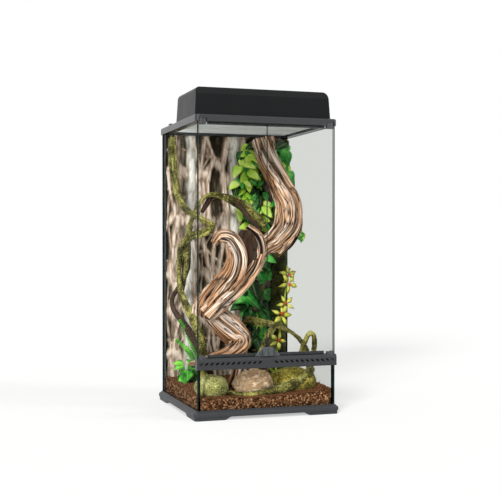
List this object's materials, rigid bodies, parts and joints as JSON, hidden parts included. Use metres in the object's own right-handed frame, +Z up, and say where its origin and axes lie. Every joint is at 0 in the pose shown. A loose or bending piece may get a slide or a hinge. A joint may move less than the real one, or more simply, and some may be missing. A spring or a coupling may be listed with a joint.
{
  "type": "reptile terrarium",
  "caption": "Tall planted glass terrarium with two hinged front doors, vented strip, lift-off screen lid and lighting hood.",
  "frame": {"origin": "centre of the footprint on the surface it stands on", "axes": "+X width to the right seen from the doors, +Y from the doors to the back, +Z up"},
  "size_m": [0.474, 0.474, 1.02],
  "materials": {
    "glass": "clear float glass, green edges",
    "frame_plastic": "dark grey moulded ABS, fine texture",
    "strip_plastic": "dark grey moulded ABS",
    "gauze": "fine woven steel gauze",
    "catch_plastic": "grey acetal",
    "silicone": "black silicone sealant",
    "screw_steel": "zinc plated",
    "lock_plastic": "black acetal",
    "clip_plastic": "glossy grey moulded",
    "handle_plastic": "smoky translucent acrylic",
    "lid_plastic": "dark grey moulded",
    "screen_wire": "woven stainless screen",
    "hood_plastic": "black moulded ABS, satin",
    "reflector_sheet": "bright rolled sheet",
    "lampholder_ceramic": "white moulded",
    "bulb_glass": "opal bulb",
    "gland_rubber": "black bushing",
    "ground_bark": "chipped bark and coir",
    "background_foam": "painted foam relief of trunks and roots",
    "driftwood": "weathered grooved wood",
    "moss_vine": "mossy foam-covered vine",
    "brown_bark": "smooth brown vine",
    "dark_moss": "dark moss-covered trunk",
    "leaf_green": "satin leaves",
    "orchid_green": "yellow-green petals",
    "pale_moss": "dense pale moss",
    "cork_bark": "rough cork",
    "bright_moss": "loose moss"
  },
  "bodies": {
    "tank": {"base_frame": "frame_plastic", "bottom_pane": "glass", "left_pane": "glass", "right_pane": "glass", "back_pane": "glass", "front_lower_pane": "glass", "silicone_seams": "silicone", "vent_strip": "strip_plastic", "vent_gauze": "gauze", "door_catch": "catch_plastic", "top_frame": "frame_plastic", "lock_screws": "screw_steel", "substrate": "ground_bark", "background": "background_foam", "driftwood": "driftwood", "mossy_vine": "moss_vine", "arch_vine": "moss_vine", "brown_vine": "brown_bark", "right_vine": "moss_vine", "ground_root": "moss_vine", "mossy_column": "dark_moss", "ivy": "leaf_green", "orchid": "orchid_green", "broadleaf": "leaf_green", "fern": "leaf_green", "moss_ball": "pale_moss", "rock_mound": "cork_bark", "moss_mound": "bright_moss"},
    "left_door": {"left_door_glass": "glass", "left_lower_clip": "clip_plastic", "left_upper_clip": "clip_plastic", "left_handle": "handle_plastic"},
    "right_door": {"right_door_glass": "glass", "right_lower_clip": "clip_plastic", "right_upper_clip": "clip_plastic", "right_handle": "handle_plastic"},
    "screen_lid": {"screen_frame": "lid_plastic", "screen_mesh": "screen_wire"},
    "hood": {"hood_housing": "hood_plastic", "reflector": "reflector_sheet", "lampholder_left": "lampholder_ceramic", "lampholder_right": "lampholder_ceramic", "bulb_left": "bulb_glass", "bulb_right": "bulb_glass", "cord_gland": "gland_rubber"},
    "left_lock": {"lid_lock_left": "lock_plastic"},
    "right_lock": {"lid_lock_right": "lock_plastic"},
    "left_shutter": {"inlet_shutter_left": "lock_plastic"},
    "right_shutter": {"inlet_shutter_right": "lock_plastic"}
  },
  "joints": [
    {"name": "left_door_hinge", "type": "hinge", "parent": "tank", "child": "left_door", "pos_m": [-0.213, -0.225, 0.5], "axis": [0, 0, -1], "range_deg": [0, 110]},
    {"name": "right_door_hinge", "type": "hinge", "parent": "tank", "child": "right_door", "pos_m": [0.213, -0.225, 0.5], "axis": [0, 0, 1], "range_deg": [0, 110]},
    {"name": "screen_lid_lift", "type": "slide", "parent": "tank", "child": "screen_lid", "axis": [0, 0, 1], "range_m": [0, 0.06]},
    {"name": "hood_lift", "type": "slide", "parent": "screen_lid", "child": "hood", "axis": [0, 0, 1], "range_m": [0, 0.1]},
    {"name": "left_lock_swivel", "type": "hinge", "parent": "tank", "child": "left_lock", "pos_m": [-0.2245, 0.1, 0.932], "axis": [0, 0, 1], "range_deg": [-90, 0]},
    {"name": "right_lock_swivel", "type": "hinge", "parent": "tank", "child": "right_lock", "pos_m": [0.2245, 0.1, 0.932], "axis": [0, 0, -1], "range_deg": [-90, 0]},
    {"name": "left_shutter_slide", "type": "slide", "parent": "tank", "child": "left_shutter", "axis": [-1, 0, 0], "range_m": [0, 0.022]},
    {"name": "right_shutter_slide", "type": "slide", "parent": "tank", "child": "right_shutter", "axis": [1, 0, 0], "range_m": [0, 0.022]}
  ]
}
